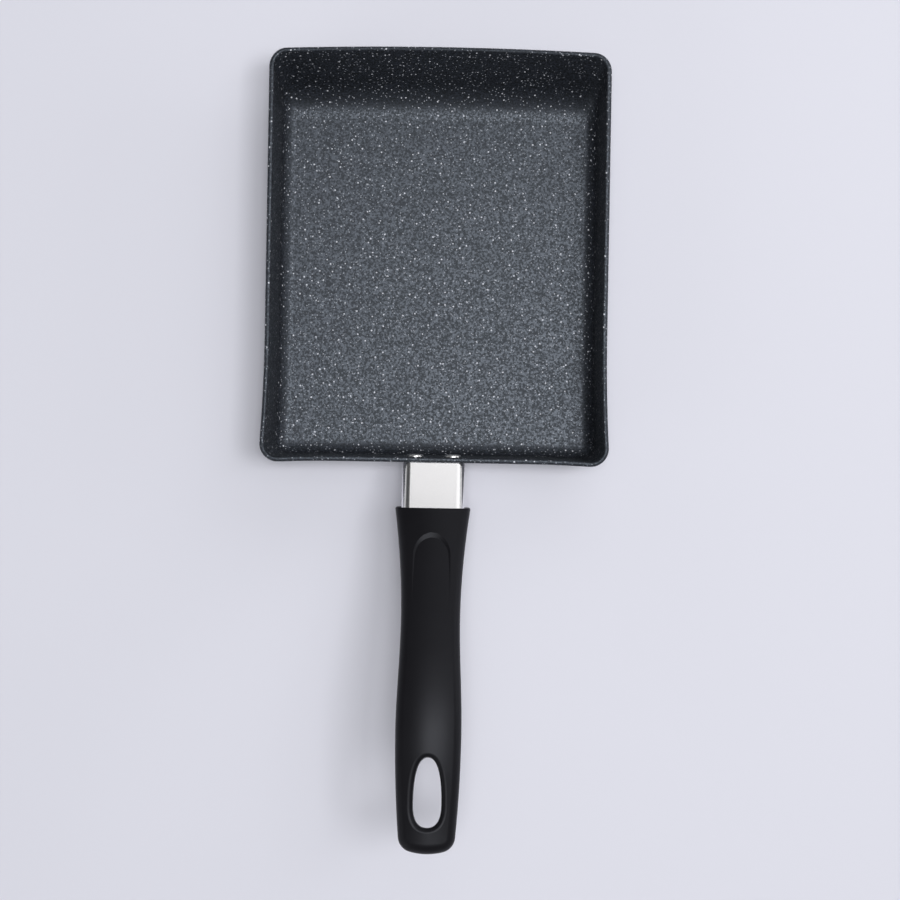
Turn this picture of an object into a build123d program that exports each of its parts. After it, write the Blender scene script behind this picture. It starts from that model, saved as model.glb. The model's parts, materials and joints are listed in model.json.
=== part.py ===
from build123d import *
from math import atan, cos, radians, sin, tan
import os

os.makedirs("parts", exist_ok=True)

# Lengths are in millimetres and angles in degrees.
# The origin is on the resting plane, under the middle of the pan's mouth.
# +Y points away from the handle, +Z points up, and the handle runs towards -Y.

# Pan body, one pressed sheet with a coat on both faces
rim_width = 150.0
rim_length = 182.4
pan_height = 35.0
wall = 2.2
floor_thickness = 3.0
side_draft = 4.0
near_draft = 2.5
far_draft = 25.0
bend_radius = 8.0
far_bend_radius = 18.0
rim_outer_radius = 1.1
rim_inner_radius = 0.7
far_bow = 1.75
side_flare = 2.2
side_flare_length = 55.0
near_flare = 1.3
near_flare_length = 33.0
base_flare_share = 0.25

# The handle's axis: where it leaves the near wall, how it climbs and where it bends
axis_height = 24.6
rise_angle = 25.0
tail_angle = 4.0
bend_start_share = 0.28
bend_end_share = 0.78

# Rivets through the near wall
rivet_spacing = 16.6
rivet_lift = 1.0
rivet_diameter = 5.0
rivet_head_diameter = 7.4
rivet_head_height = 1.0
rivet_head_radius = 0.8
rivet_tail_diameter = 7.0
rivet_tail_height = 1.8
rivet_tail_bevel = 0.7
rivet_clearance = 0.05

# Die-cast bracket: a flange on the wall and a blade inside the handle
flange_width = 23.6
flange_height = 12.4
flange_thickness = 3.0
flange_corner = 3.0
blade_thickness = 5.0
blade_root_width = 8.6
blade_width = 13.0
blade_neck = 6.0
blade_tip_margin = 12.0
blade_lift = 2.0
blade_tip_radius = 4.0

# Ferrule, the metal sleeve between the wall and the handle
ferrule_width = 27.3
ferrule_height = 17.0
ferrule_corner = 3.6
ferrule_wall = 1.2
ferrule_seat = 4.0

# Handle, seen from above and from the side
handle_gap = 19.5
handle_length = 143.0
front_width = 32.8
waist_width = 25.1
palm_width = 27.7
tail_width = 23.1
waist_share = 0.335
palm_share = 0.64
front_taper_angle = 8.6
tail_taper_angle = 5.5
tail_bulge = 2.2
tail_corner_radius = 6.6
front_thickness = 23.0
waist_thickness = 19.5
palm_thickness = 18.0
tail_thickness = 12.4
crown_radius = 32.0
belly_radius = 45.0
handle_edge_radius = 4.8
front_edge_radius = 0.6
fit_clearance = 0.2

# Thumb rest, a shallow crowned scoop that fades out towards the palm
thumb_width = 19.6
thumb_depth = 1.1
thumb_wall_angle = 65.0
thumb_setback = 10.2
thumb_length = 34.0
thumb_middle_share = 0.25

# Hanging hole, egg-shaped, widest in its tail half, and square to the line that the palm holds
hole_length = 29.0
hole_width = 11.9
hole_tilt = 10.0
hole_tail_margin = 10.5
hole_widest_share = 0.33
hole_fullness_share = 0.66
hole_lip_radius = 1.9

# Handle screw and its washers, sunk in the underside
screw_diameter = 5.0
screw_setback = 30.0
screw_head_diameter = 9.2
screw_head_height = 3.3
screw_head_radius = 1.0
screw_clearance = 0.3
thread_clearance = 0.05
recess_width = 1.4
recess_length = 5.2
recess_depth = 1.9
clamp_thickness = 3.6
flat_washer_diameter = 10.0
flat_washer_thickness = 1.0
lock_washer_diameter = 9.2
lock_washer_thickness = 1.3
lock_washer_slit = 1.0
counterbore_clearance = 0.4

# One overrun serves every cut; faces that meet under the smooth angle make no bend
overrun = 20.0
smooth_angle = 5.0
level_share = 0.5

near_slope = tan(radians(near_draft))
rise = tan(radians(rise_angle))
rise_sine = sin(radians(rise_angle))
rise_cosine = cos(radians(rise_angle))
across = Vector(1, 0, 0)
along = Vector(0, -rise_cosine, rise_sine)
above = Vector(0, rise_sine, rise_cosine)
outward = Vector(0, -cos(radians(near_draft)), -sin(radians(near_draft)))

axis_start = Vector(0, -rim_length / 2 + (pan_height - axis_height) * near_slope, axis_height)
handle_front = -rim_length / 2 - handle_gap
handle_tail = handle_front - handle_length
front_height = axis_height + (axis_start.Y - handle_front) * rise
front_distance = (axis_start.Y - handle_front) / rise_cosine
blade_reach = screw_setback + blade_tip_margin
seat_drop = blade_thickness / 2 + fit_clearance + clamp_thickness - blade_lift
wall_through = wall * cos(radians(near_draft))

wall_plane = Plane(origin=axis_start, x_dir=across, z_dir=outward)
section_plane = Plane(origin=axis_start, x_dir=across, z_dir=along)
blade_plane = Plane(origin=axis_start + above * blade_lift, x_dir=along, z_dir=above)
screw_plane = Plane(
    origin=axis_start + along * (front_distance + screw_setback) - above * seat_drop,
    x_dir=across,
    z_dir=-above,
)
seat_plane = Plane(origin=(0, handle_front - ferrule_seat, 0), x_dir=across, z_dir=-Axis.Y.direction)
rivet_places = [(-rivet_spacing / 2, rivet_lift), (rivet_spacing / 2, rivet_lift)]

# Level distances behind the handle's front, with the handle's thickness at each
side_stations = [
    (-overrun, front_thickness),
    (0, front_thickness),
    (waist_share * handle_length, waist_thickness),
    (palm_share * handle_length, palm_thickness),
    (handle_length, tail_thickness),
    (handle_length + overrun, tail_thickness),
]


def pan_outline(height, inset):
    """Lines of the pan's sharp-cornered outline at one height, drawn in by an inset.

    Each wall leans out by its draft. The far edge is bowed outwards in the middle, and the
    sides and the near edge flare outwards as they come to the near corners.
    """
    drop = pan_height - height
    flare = base_flare_share + (1 - base_flare_share) * height / pan_height
    half = rim_width / 2 - inset - drop * tan(radians(side_draft))
    near = -rim_length / 2 + inset + drop * near_slope
    far = rim_length / 2 - inset - drop * tan(radians(far_draft))
    far_corner = far - far_bow * flare
    near_corner = (half + side_flare * flare, near - near_flare * flare)
    straight = half - near_flare_length
    ThreePointArc((-half, far_corner), (0, far), (half, far_corner))
    Line((-straight, near), (straight, near))
    for side in (-1, 1):
        corner = (side * near_corner[0], near_corner[1])
        Line((side * half, far_corner), (side * half, near + side_flare_length))
        TangentArc((side * half, near + side_flare_length), corner, tangent=(0, -1))
        TangentArc((side * straight, near), corner, tangent=(side, 0))


def meets_at_angle(solid, edge):
    """True where the two faces beside an edge stand at an angle to each other."""
    middle = edge @ 0.5
    normals = [face.normal_at(middle) for face in solid.faces() if edge in face.edges()]
    return normals[0].get_angle(normals[-1]) > smooth_angle


def pan_form(bottom, top, inset):
    """Solid between two heights with the pan's leaning walls and rounded bends."""
    with BuildPart() as form:
        for height in (bottom, top):
            with BuildSketch(Plane.XY.offset(height)):
                with BuildLine():
                    pan_outline(height, inset)
                make_face()
        loft(ruled=True)
        fillet(form.edges().group_by(Axis.Z)[0].sort_by(Axis.Y)[-1], far_bend_radius - inset)
        below_rim = form.edges() - form.edges().group_by(Axis.Z)[-1]
        bends = below_rim.filter_by(lambda edge: meets_at_angle(form.part, edge))
        fillet(bends, bend_radius - inset)
    return form.part


def axis_point(distance):
    """Height and slope of the handle's axis at a level distance behind the handle's front.

    It climbs in a straight line, then its slope falls evenly along the bend, and after that
    it is straight again up to the tail.
    """
    tail_rise = tan(radians(tail_angle))
    bend_start = bend_start_share * handle_length
    bend_end = bend_end_share * handle_length
    turned = min(max(distance, bend_start), bend_end) - bend_start
    slope_loss = (rise - tail_rise) * turned / (bend_end - bend_start)
    height = front_height + rise * min(distance, bend_end)
    height += tail_rise * max(distance - bend_end, 0) - slope_loss * turned / 2
    return height, rise - slope_loss


def side_point(distance, thickness, side):
    """Point of the handle's side view, half a thickness above (1) or below (-1) its axis."""
    height, slope = axis_point(distance)
    angle = atan(slope)
    half = side * thickness / 2
    return (handle_front - distance + half * sin(angle), height + half * cos(angle))


def side_line(side):
    """The handle's upper (1) or lower (-1) line, seen from the side."""
    with BuildLine(Plane.YZ) as line:
        Spline(*[side_point(*station, side) for station in side_stations])
    return line.line


def tube_inside(line, side, radius):
    """Round tube under (1) or over (-1) a line of the side view, and touching it."""
    with BuildPart() as tube:
        with BuildSketch(Plane(origin=line @ 0, x_dir=across, z_dir=line % 0)):
            with Locations((0, -side * radius)):
                Circle(radius)
        sweep(path=line)
    return tube.part


def top_point(distance):
    """Point of the handle's upper line at a level distance behind the handle's front."""
    upright = Axis((0, handle_front - distance, 0), (0, 0, 1))
    return Vector(top_line.edge().intersect(upright)[0])


with BuildPart() as pan_body:
    add(pan_form(0, pan_height, 0))
    add(pan_form(floor_thickness, pan_height + overrun, wall), mode=Mode.SUBTRACT)
    fillet(pan_body.faces().sort_by(Axis.Z)[-1].outer_wire().edges(), rim_outer_radius)
    fillet(pan_body.faces().sort_by(Axis.Z)[-1].inner_wires()[0].edges(), rim_inner_radius)
    with BuildSketch(wall_plane):
        with Locations(*rivet_places):
            Circle(rivet_diameter / 2 + rivet_clearance)
    extrude(amount=overrun, both=True, mode=Mode.SUBTRACT)
pan_body.part.label = "pan_body"

# Bracket: the flange lies on the wall, and the blade runs inside the handle
blade_side = [
    (-blade_neck, blade_root_width / 2),
    (blade_neck, blade_root_width / 2),
    (2 * blade_neck, blade_width / 2),
    (front_distance + blade_reach, blade_width / 2),
]
with BuildPart() as handle_bracket:
    with BuildSketch(blade_plane) as blade_outline:
        with BuildLine():
            Polyline(*blade_side, *[(x, -y) for x, y in reversed(blade_side)], close=True)
        make_face()
        fillet(blade_outline.vertices().group_by(Axis.X)[-1], blade_tip_radius)
    extrude(amount=blade_thickness / 2, both=True)
    split(bisect_by=wall_plane, keep=Keep.TOP)
    with BuildSketch(wall_plane):
        with Locations((0, rivet_lift)):
            RectangleRounded(flange_width, flange_height, flange_corner)
    extrude(amount=flange_thickness)
    with BuildSketch(wall_plane):
        with Locations(*rivet_places):
            Circle(rivet_diameter / 2 + rivet_clearance)
    extrude(amount=overrun, mode=Mode.SUBTRACT)
    with BuildSketch(screw_plane):
        Circle(screw_diameter / 2 + thread_clearance)
    extrude(amount=-overrun, mode=Mode.SUBTRACT)
handle_bracket.part.label = "handle_bracket"


def rivet(place):
    """Round-edged head inside the pan, shank through wall and flange, and a bevelled tail."""
    centre = wall_plane.from_local_coords(place)
    tail_end = -flange_thickness - rivet_tail_height
    tail_radius = rivet_tail_diameter / 2
    head_radius = rivet_head_diameter / 2
    head_top = wall_through + rivet_head_height
    rim_start = (head_radius - rivet_head_radius, head_top)
    rim_end = (head_radius, head_top - rivet_head_radius)
    with BuildPart() as body:
        with BuildSketch(Plane(origin=centre, x_dir=across, z_dir=wall_plane.y_dir)):
            with BuildLine():
                Polyline(
                    rim_start,
                    (0, head_top),
                    (0, tail_end),
                    (tail_radius - rivet_tail_bevel, tail_end),
                    (tail_radius, tail_end + rivet_tail_bevel),
                    (tail_radius, -flange_thickness),
                    (rivet_diameter / 2, -flange_thickness),
                    (rivet_diameter / 2, wall_through),
                    (head_radius, wall_through),
                    rim_end,
                )
                TangentArc(rim_start, rim_end, tangent=(1, 0))
            make_face()
        revolve(axis=Axis(centre, outward))
    return body.part


rivet_left = rivet(rivet_places[0])
rivet_left.label = "rivet_left"
rivet_right = rivet(rivet_places[1])
rivet_right.label = "rivet_right"

# Ferrule: a sleeve along the handle's axis, cut to the wall and to its seat in the handle
with BuildPart() as ferrule:
    with BuildSketch(section_plane.offset(-overrun)):
        RectangleRounded(ferrule_width, ferrule_height, ferrule_corner)
        RectangleRounded(
            ferrule_width - 2 * ferrule_wall,
            ferrule_height - 2 * ferrule_wall,
            ferrule_corner - ferrule_wall,
            mode=Mode.SUBTRACT,
        )
    extrude(amount=front_distance + 2 * overrun)
    split(bisect_by=wall_plane, keep=Keep.TOP)
    split(bisect_by=seat_plane, keep=Keep.BOTTOM)
ferrule.part.label = "ferrule"

# Room in the handle for the ferrule's end
with BuildPart() as ferrule_seat_space:
    with BuildSketch(section_plane):
        RectangleRounded(
            ferrule_width + 2 * fit_clearance,
            ferrule_height + 2 * fit_clearance,
            ferrule_corner + fit_clearance,
        )
    extrude(amount=front_distance + overrun)
    split(bisect_by=seat_plane, keep=Keep.BOTTOM)

# The thumb rest's space: sloping walls around a crowned floor that rises to the handle's top
top_line = side_line(1)
rest_front = top_point(thumb_setback)
rest_middle = top_point(thumb_setback + level_share * thumb_length)
rest_end = top_point(thumb_setback + thumb_length)
rest_normal = (rest_end - rest_front).normalized().cross(across)
rest_plane = Plane(origin=rest_front, x_dir=across, z_dir=rest_normal)
with BuildLine() as floor_line:
    floor_arc = ThreePointArc(
        rest_front - rest_normal * thumb_depth,
        rest_middle - rest_normal * thumb_middle_share * thumb_depth,
        rest_end,
    )
    Line(floor_arc @ 0 - (floor_arc % 0) * thumb_width, floor_arc @ 0)
    Line(floor_arc @ 1, floor_arc @ 1 + (floor_arc % 1) * thumb_length)
with BuildPart() as thumb_rest_space:
    with BuildSketch(rest_plane) as thumb_outline:
        with Locations((0, -(thumb_width + thumb_length) / 2)):
            SlotCenterToCenter(thumb_length, thumb_width, rotation=90)
    extrude(amount=overrun)
    extrude(thumb_outline.sketch, amount=-2 * thumb_depth, taper=thumb_wall_angle)
    add(tube_inside(floor_line.line, 1, crown_radius), mode=Mode.SUBTRACT)

# Handle: the view from above, cut to the crowned top and underside
tail_corner = handle_tail + tail_bulge
front_taper = tan(radians(front_taper_angle))
tail_taper = tan(radians(tail_taper_angle))
slot_length = front_distance + blade_reach + fit_clearance
hole_distance = handle_length - hole_tail_margin - hole_widest_share * hole_length
hole_plane = Plane(
    origin=(0, handle_front - hole_distance, axis_point(hole_distance)[0]),
    x_dir=across,
    z_dir=Vector(0, sin(radians(hole_tilt)), cos(radians(hole_tilt))),
)
with BuildPart() as handle:
    with BuildSketch(Plane.XY) as top_view:
        with BuildLine():
            for side in (-1, 1):
                Spline(
                    (side * front_width / 2, handle_front),
                    (side * waist_width / 2, handle_front - waist_share * handle_length),
                    (side * palm_width / 2, handle_front - palm_share * handle_length),
                    (side * tail_width / 2, tail_corner),
                    tangents=[(-side * front_taper, -1), (0, -1), (0, -1), (-side * tail_taper, -1)],
                )
            Line((-front_width / 2, handle_front), (front_width / 2, handle_front))
            ThreePointArc(
                (-tail_width / 2, tail_corner), (0, handle_tail), (tail_width / 2, tail_corner)
            )
        make_face()
        fillet(top_view.vertices().group_by(Axis.Y)[0], tail_corner_radius)
    extrude(amount=front_height + handle_length)
    add(tube_inside(top_line, 1, crown_radius), mode=Mode.INTERSECT)
    add(tube_inside(side_line(-1), -1, belly_radius), mode=Mode.INTERSECT)
    broad_faces = handle.faces().filter_by(lambda face: abs(face.normal_at().Z) > level_share)
    fillet(broad_faces.edges() - handle.edges().group_by(Axis.Y)[-1], handle_edge_radius)
    fillet(handle.edges().group_by(Axis.Y)[-1], front_edge_radius)

    add(ferrule_seat_space.part, mode=Mode.SUBTRACT)
    with BuildSketch(blade_plane):
        Rectangle(slot_length, blade_width + 2 * fit_clearance, align=(Align.MIN, Align.CENTER))
    extrude(amount=blade_thickness / 2 + fit_clearance, both=True, mode=Mode.SUBTRACT)
    with BuildSketch(screw_plane):
        Circle(screw_diameter / 2 + screw_clearance)
    extrude(amount=-clamp_thickness - fit_clearance, mode=Mode.SUBTRACT)
    with BuildSketch(screw_plane):
        Circle(flat_washer_diameter / 2 + counterbore_clearance)
    extrude(amount=overrun, mode=Mode.SUBTRACT)

    add(thumb_rest_space.part, mode=Mode.SUBTRACT)

    with BuildSketch(hole_plane):
        with BuildLine():
            for side_reach in (-hole_width / 2, hole_width / 2):
                for end in (-hole_widest_share * hole_length, (1 - hole_widest_share) * hole_length):
                    Bezier(
                        (side_reach, 0),
                        (side_reach, hole_fullness_share * end),
                        (side_reach * hole_fullness_share, end),
                        (0, end),
                    )
        make_face()
    extrude(amount=overrun, both=True, mode=Mode.SUBTRACT)
    lips = handle.edges(Select.LAST).filter_by(Axis((0, 0, 0), hole_plane.z_dir), reverse=True)
    fillet(lips, hole_lip_radius)
handle.part.label = "handle"

# Screw and washers, stacked from the counterbore's floor outwards
washer_stack = flat_washer_thickness + lock_washer_thickness
screw_length = washer_stack + clamp_thickness + fit_clearance + blade_thickness
with BuildPart() as handle_screw:
    with BuildSketch(screw_plane.offset(washer_stack)):
        Circle(screw_head_diameter / 2)
    extrude(amount=screw_head_height)
    fillet(handle_screw.edges().group_by(Axis(screw_plane.origin, -above))[-1], screw_head_radius)
    with BuildSketch(screw_plane.offset(washer_stack)):
        Circle(screw_diameter / 2)
    extrude(amount=-screw_length)
    with BuildSketch(screw_plane.offset(washer_stack + screw_head_height)):
        Rectangle(recess_length, recess_width)
        Rectangle(recess_width, recess_length)
    extrude(amount=-recess_depth, mode=Mode.SUBTRACT)
handle_screw.part.label = "handle_screw"

with BuildPart() as flat_washer:
    with BuildSketch(screw_plane):
        Circle(flat_washer_diameter / 2)
        Circle(screw_diameter / 2 + screw_clearance, mode=Mode.SUBTRACT)
    extrude(amount=flat_washer_thickness)
flat_washer.part.label = "flat_washer"

with BuildPart() as lock_washer:
    with BuildSketch(screw_plane.offset(flat_washer_thickness)):
        Circle(lock_washer_diameter / 2)
        Circle(screw_diameter / 2 + screw_clearance, mode=Mode.SUBTRACT)
        with Locations((lock_washer_diameter / 2, 0)):
            Rectangle(lock_washer_diameter, lock_washer_slit, mode=Mode.SUBTRACT)
    extrude(amount=lock_washer_thickness)
lock_washer.part.label = "lock_washer"

pieces = [
    pan_body.part,
    rivet_left,
    rivet_right,
    handle_bracket.part,
    ferrule.part,
    handle.part,
    flat_washer.part,
    lock_washer.part,
    handle_screw.part,
]
for piece in pieces:
    export_step(piece, f"parts/{piece.label}.step")
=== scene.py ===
"""A rectangular omelette pan on a pale table, seen from straight above.

Every length is in metres and every place is in the frame's own axes: the origin is under the
middle of the pan's mouth, +Y points away from the handle and +Z points up.
"""

import json
from math import pi, radians

import bpy
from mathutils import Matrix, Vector

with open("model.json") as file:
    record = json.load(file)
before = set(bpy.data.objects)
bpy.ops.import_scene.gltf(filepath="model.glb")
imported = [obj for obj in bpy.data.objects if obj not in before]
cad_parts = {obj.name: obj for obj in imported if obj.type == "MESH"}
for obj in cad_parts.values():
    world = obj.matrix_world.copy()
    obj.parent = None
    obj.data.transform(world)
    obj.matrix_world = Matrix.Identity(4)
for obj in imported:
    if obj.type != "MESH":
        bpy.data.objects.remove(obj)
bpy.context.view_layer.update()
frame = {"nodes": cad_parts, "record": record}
nodes = frame["nodes"]

MM = 0.001

# Camera: straight above, near the handle's end of the pan, and turned a little. Blender takes the
# sensor's width and the lens's focal length in millimetres
CAMERA_HEIGHT = 880 * MM
CAMERA_FOOT = (7.0 * MM, -85.5 * MM)
CAMERA_ROLL = radians(1.0)
SENSOR = 36.0
LENS = 77.4

# The room: its colour, its level along the horizon, on the left and on the right, and the heights
# between which the horizon fades, as a direction's Z
ROOM_COLOUR = (0.97, 0.98, 1.0)
ROOM_HORIZON = 0.72
ROOM_LEFT = 0.06
ROOM_RIGHT = 0.14
HORIZON_FADE = (0.12, 0.34)

# Softboxes, each with its place, the point that it faces, its width and height, and its radiance
PAN_AIM = (0, -0.08, 0)
FERRULE_AIM = (0, -0.10, 0)
SOFTBOXES = {
    "overhead": ((0.05, -0.10, 2.00), PAN_AIM, (0.50, 0.50), 20.5),
    "overhead_right": ((0.62, -0.06, 1.90), PAN_AIM, (0.50, 0.50), 14.0),
    "right": ((1.00, 0.25, 1.68), PAN_AIM, (0.50, 0.60), 2.6),
    "right_low": ((1.40, 0.20, 0.48), PAN_AIM, (0.70, 0.35), 3.0),
    "ceiling": ((0.10, 0.00, 2.10), PAN_AIM, (1.60, 1.60), 0.60),
    "far_strip": ((0.55, 1.00, 0.86), FERRULE_AIM, (1.60, 0.75), 1.02),
    "near_left": ((-1.10, -1.00, 0.60), FERRULE_AIM, (1.20, 0.60), 1.3),
}

# The table's colour, and how far it reaches along X and Y on each side of the origin
TABLE_COLOUR = (0.675, 0.678, 0.75)
TABLE_REACH = 3.0


class Value:
    """A number, vector or colour that changes over a surface. Its operators add Math nodes."""

    def __init__(self, shader, socket):
        self.shader = shader
        self.socket = socket

    def math(self, operation, first, second):
        return self.shader.value("ShaderNodeMath", {"operation": operation}, {0: first, 1: second})

    def __add__(self, other):
        return self.math("ADD", self, other)

    __radd__ = __add__

    def __sub__(self, other):
        return self.math("SUBTRACT", self, other)

    def __rsub__(self, other):
        return self.math("SUBTRACT", other, self)

    def __mul__(self, other):
        return self.math("MULTIPLY", self, other)

    __rmul__ = __mul__

    def __gt__(self, other):
        return self.math("GREATER_THAN", self, other)


class Shader:
    """The node tree of a material or of the world."""

    def __init__(self, owner):
        owner.use_nodes = True
        self.tree = owner.node_tree
        self.tree.nodes.clear()

    def node(self, kind, settings=None, inputs=None):
        """Adds a node: its settings first, then the values or links of its sockets."""
        node = self.tree.nodes.new(kind)
        for name, setting in (settings or {}).items():
            if name == "stops":
                self.fill_ramp(node.color_ramp, setting)
            else:
                setattr(node, name, setting)
        for name, given in (inputs or {}).items():
            socket = node.inputs[name]
            if isinstance(given, Value):
                self.tree.links.new(given.socket, socket)
            else:
                socket.default_value = given
        return node

    def fill_ramp(self, ramp, stops):
        """Gives a colour ramp its stops, each a place from 0 to 1 and a grey level."""
        while len(ramp.elements) < len(stops):
            ramp.elements.new(1.0)
        for element, (place, tone) in zip(ramp.elements, stops):
            element.position = place
            element.color = (tone, tone, tone, 1.0)

    def value(self, kind, settings=None, inputs=None, output=0):
        """Adds a node and returns one of its outputs."""
        return Value(self, self.node(kind, settings, inputs).outputs[output])

    def place(self, scale):
        """Object coordinates, in steps of 1 / scale metres along each axis."""
        coordinates = self.value("ShaderNodeTexCoord", output="Object")
        return self.value("ShaderNodeMapping", {}, {"Vector": coordinates, "Scale": scale})

    def noise(self, size, detail, stretch=(1.0, 1.0, 1.0)):
        """Noise from 0 to 1 with features about one size long, stretched along the axes."""
        scale = tuple(1 / (size * share) for share in stretch)
        inputs = {"Vector": self.place(scale), "Scale": 1.0, "Detail": detail}
        return self.value("ShaderNodeTexNoise", {}, inputs)

    def ramp(self, value, *stops):
        """Maps a number through grey stops, straight between them and level past the ends."""
        return self.value("ShaderNodeValToRGB", {"stops": stops}, {"Fac": value})

    def blend(self, share, first, second):
        """Mixes two colours by a share. Sockets 6 and 7 are the Mix node's colour inputs."""
        inputs = {"Factor": share, 6: first, 7: second}
        return self.value("ShaderNodeMix", {"data_type": "RGBA"}, inputs, output=2)

    def bump(self, height, depth):
        """Normal from a height of 0 to 1 that stands for a depth in metres."""
        return self.value("ShaderNodeBump", {}, {"Height": height, "Distance": depth}, "Normal")


def material(name, **sockets):
    """A new material with a Principled shader, and a way to add nodes to it."""
    made = bpy.data.materials.new(name)
    shader = Shader(made)
    principled = shader.node("ShaderNodeBsdfPrincipled")
    output = shader.node("ShaderNodeOutputMaterial")
    shader.tree.links.new(principled.outputs["BSDF"], output.inputs["Surface"])
    for socket, given in sockets.items():
        principled.inputs[socket.replace("_", " ")].default_value = given
    return made, shader, principled


def plug(shader, principled, **links):
    """Links values to the sockets of a Principled shader."""
    for socket, value in links.items():
        shader.tree.links.new(value.socket, principled.inputs[socket.replace("_", " ")])


def flecks(shader, spacing, radius, kept):
    """Scattered grains: 1 inside a grain, 0 outside, softened at its edge.

    Space is cut into cells with one point each. A share of the points holds a grain, whose
    outline is uneven, and the surface shows the slices that it cuts through.
    """
    unevenness = 0.1
    waves_per_radius = 0.8
    edge_start = 0.55
    finer = {"Vector": shader.place((1 / radius,) * 3), "Scale": waves_per_radius}
    noise = shader.value("ShaderNodeTexNoise", {}, finer, output=1)
    parts = {0: noise, 1: (unevenness,) * 3, 2: shader.place((1 / spacing,) * 3)}
    wobble = shader.value("ShaderNodeVectorMath", {"operation": "MULTIPLY_ADD"}, parts)
    cells = shader.node("ShaderNodeTexVoronoi", {}, {"Vector": wobble, "Scale": 1.0})
    distance = Value(shader, cells.outputs["Distance"])
    chance = shader.value("ShaderNodeSeparateColor", {}, {0: Value(shader, cells.outputs["Color"])})
    inside = shader.ramp(distance * (spacing / radius), (edge_start, 1.0), (1.0, 0.0))
    return inside * (chance > (1 - kept))


def speckled_coat():
    """Satin non-stick coat: dark slate with a fine grey mottle and scattered pale flecks.

    The mottle is in the sheen as much as in the colour, because its pale grains are smoother.
    """
    bluish = (0.78, 0.87, 1.0, 1)
    dark_slate = (0.002, 0.0023, 0.003, 1)
    grey_slate = (0.020, 0.023, 0.031, 1)
    small_fleck = (0.24, 0.25, 0.28, 1)
    large_fleck = (0.56, 0.57, 0.62, 1)
    made, shader, principled = material(
        "speckled_coat", Specular_IOR_Level=0.64, Specular_Tint=bluish
    )
    mottle = shader.ramp(shader.noise(0.85 * MM, 2.5), (0.42, 0.0), (0.60, 1.0))
    base = shader.blend(mottle, dark_slate, grey_slate)
    small = flecks(shader, spacing=1.5 * MM, radius=0.36 * MM, kept=0.9)
    large = flecks(shader, spacing=2.9 * MM, radius=0.46 * MM, kept=0.85)
    with_small = shader.blend(small, base, small_fleck)
    colour = shader.blend(large, with_small, large_fleck)
    roughness = 0.61 - mottle * 0.18
    relief = shader.bump(shader.noise(1.1 * MM, 2.0), 0.03 * MM)
    plug(shader, principled, Base_Color=colour, Roughness=roughness, Normal=relief)
    return made


def handle_resin():
    """Black moulded phenolic resin with a fine matte skin and faint clouds."""
    bluish = (0.88, 0.91, 1.0, 1)
    deep_black = (0.0062, 0.0060, 0.0074, 1)
    soft_black = (0.0078, 0.0076, 0.0093, 1)
    made, shader, principled = material(
        "handle_resin", Specular_IOR_Level=0.135, Specular_Tint=bluish
    )
    skin = shader.noise(0.35 * MM, 2.0)
    cloud = shader.noise(18 * MM, 2.0)
    colour = shader.blend(cloud, deep_black, soft_black)
    roughness = skin * 0.06 + cloud * 0.05 + 0.345
    relief = shader.bump(skin, 0.015 * MM)
    plug(shader, principled, Base_Color=colour, Roughness=roughness, Normal=relief)
    return made


def satin_metal(name, colour, roughness, grain_length):
    """Bare metal with faint clouds and a fine grain, stretched along Y by the grain's length."""
    pale_share = 1.04
    dull_share = 0.94
    grain_roughness = 0.10
    cloud_roughness = 0.06
    made, shader, principled = material(name, Metallic=1.0)
    grain = shader.noise(0.25 * MM, 3.0, stretch=(1.0, grain_length, 1.0))
    cloud = shader.noise(6 * MM, 2.0)
    pale = tuple(min(1.0, tone * pale_share) for tone in colour)
    dull = tuple(tone * dull_share for tone in colour)
    tone = shader.blend(cloud, (*dull, 1), (*pale, 1))
    smoothest = roughness - (grain_roughness + cloud_roughness) / 2
    rough = grain * grain_roughness + cloud * cloud_roughness + smoothest
    relief = shader.bump(grain, 0.004 * MM)
    plug(shader, principled, Base_Color=tone, Roughness=rough, Normal=relief)
    return made


def dress(piece, made):
    """Puts one material on every slot of a piece."""
    for slot in piece.material_slots:
        slot.material = made


def add_table():
    """The pale table and its material, under the pan."""
    mesh = bpy.data.meshes.new("table")
    corners = [(x * TABLE_REACH, y * TABLE_REACH, 0) for x, y in ((-1, -1), (1, -1), (1, 1), (-1, 1))]
    mesh.from_pydata(corners, [], [(0, 1, 2, 3)])
    table = bpy.data.objects.new("table", mesh)
    bpy.context.scene.collection.objects.link(table)
    finish = {"Base_Color": (*TABLE_COLOUR, 1), "Roughness": 0.8, "Specular_IOR_Level": 0.1}
    mesh.materials.append(material("table_top", **finish)[0])


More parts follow.
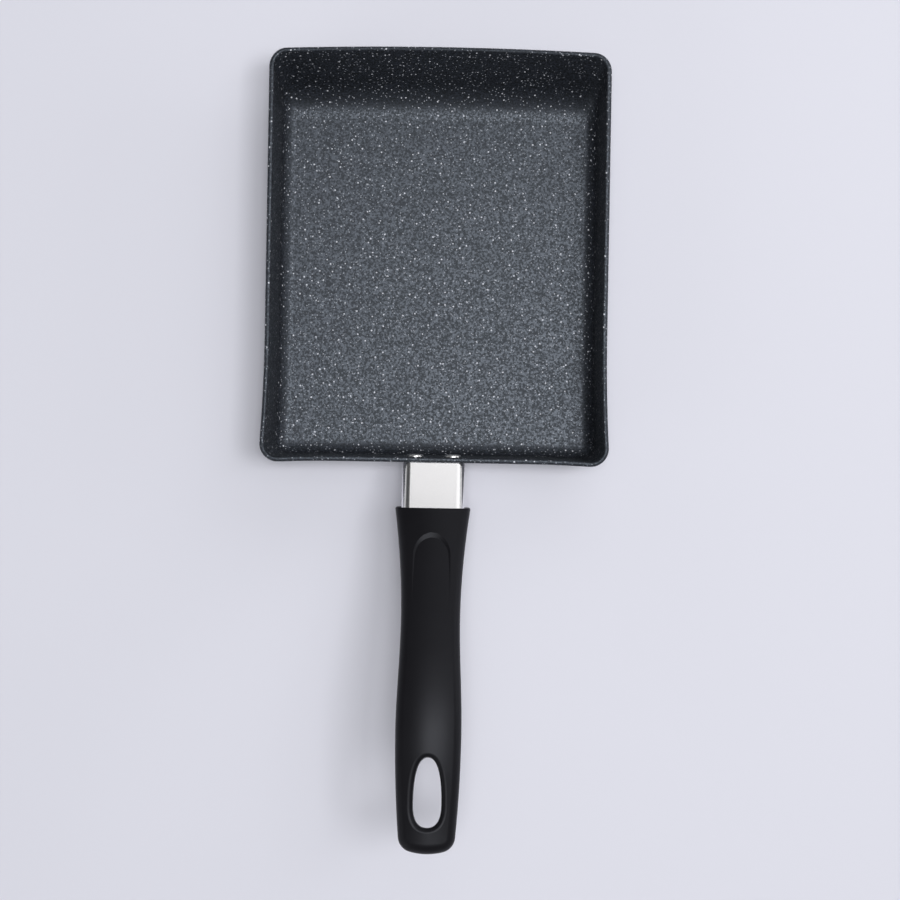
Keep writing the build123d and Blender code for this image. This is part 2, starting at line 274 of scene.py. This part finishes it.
def add_softbox(name, place, aim, size, radiance):
    """A rectangular area lamp at a place, turned towards a point.

    Its power is pi x area x radiance.
    """
    lamp = bpy.data.lights.new(name, "AREA")
    lamp.shape = "RECTANGLE"
    lamp.size, lamp.size_y = size
    lamp.energy = pi * lamp.size * lamp.size_y * radiance
    light = bpy.data.objects.new(name, lamp)
    light.location = place
    light.rotation_euler = (Vector(aim) - Vector(place)).to_track_quat("-Z", "Y").to_euler()
    bpy.context.scene.collection.objects.link(light)


def add_room():
    """A room that is pale up to the horizon, and above it darker on the left than on the right."""
    world = bpy.data.worlds.new("room")
    bpy.context.scene.world = world
    shader = Shader(world)
    direction = shader.value("ShaderNodeTexCoord", output="Generated")
    split = shader.node("ShaderNodeSeparateXYZ", {}, {"Vector": direction})
    sideways = Value(shader, split.outputs["X"])
    height = Value(shader, split.outputs["Z"])
    from_left = sideways * 0.5 + 0.5
    walls = shader.ramp(from_left, (0.25, ROOM_LEFT), (0.75, ROOM_RIGHT))
    horizon = shader.ramp(height, (HORIZON_FADE[0], 1.0), (HORIZON_FADE[1], 0.0))
    level = horizon * ROOM_HORIZON + (1 - horizon) * walls
    given = {"Color": (*ROOM_COLOUR, 1), "Strength": level}
    light = shader.node("ShaderNodeBackground", {}, given)
    output = shader.node("ShaderNodeOutputWorld")
    shader.tree.links.new(light.outputs[0], output.inputs["Surface"])


def add_camera():
    """The camera looks straight down on its foot, with no shift."""
    data = bpy.data.cameras.new("camera")
    data.sensor_width = SENSOR
    data.lens = LENS
    camera = bpy.data.objects.new("camera", data)
    camera.location = (*CAMERA_FOOT, CAMERA_HEIGHT)
    camera.rotation_euler = (0, 0, CAMERA_ROLL)
    bpy.context.scene.collection.objects.link(camera)
    bpy.context.scene.camera = camera


finishes = {
    "speckled_coat": speckled_coat(),
    "rivet_metal": satin_metal("rivet_metal", (0.90, 0.90, 0.90), 0.30, 1.0),
    "cast_alloy": satin_metal("cast_alloy", (0.55, 0.56, 0.58), 0.55, 1.0),
    "ferrule_metal": satin_metal("ferrule_metal", (0.91, 0.90, 0.91), 0.20, 12.0),
    "handle_resin": handle_resin(),
    "fastener_steel": satin_metal("fastener_steel", (0.62, 0.62, 0.63), 0.32, 1.0),
}
for row in frame["record"]["subparts"]:
    dress(nodes[row["node"]], finishes[row["material_slot"]])

add_table()
add_room()
for name, softbox in SOFTBOXES.items():
    add_softbox(name, *softbox)
add_camera()
bpy.context.scene.view_settings.view_transform = "Standard"
